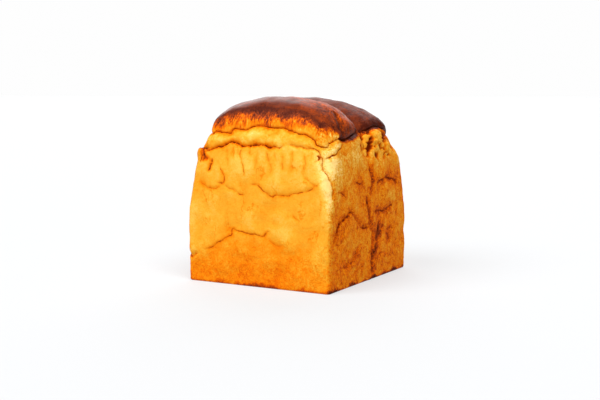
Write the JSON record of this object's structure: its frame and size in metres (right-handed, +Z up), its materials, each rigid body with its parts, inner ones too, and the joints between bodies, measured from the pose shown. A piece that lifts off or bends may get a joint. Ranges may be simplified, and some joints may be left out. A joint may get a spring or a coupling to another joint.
{
  "type": "tin loaf",
  "caption": "Two-humped tin loaf with a glossy dark brown top and golden, creased sides, baked as one piece and standing on its flat base.",
  "frame": {"origin": "centre of the loaf's footprint, on the flat base", "axes": "+Z up; both humps run along X, and Y crosses them, with the front hump at -Y"},
  "size_m": [0.1216, 0.1336, 0.1396],
  "materials": {
    "crust": "golden baked crust, matt to satin, dark brown and glossy on the crown"
  },
  "bodies": {
    "root": {"loaf": "crust"}
  },
  "joints": []
}
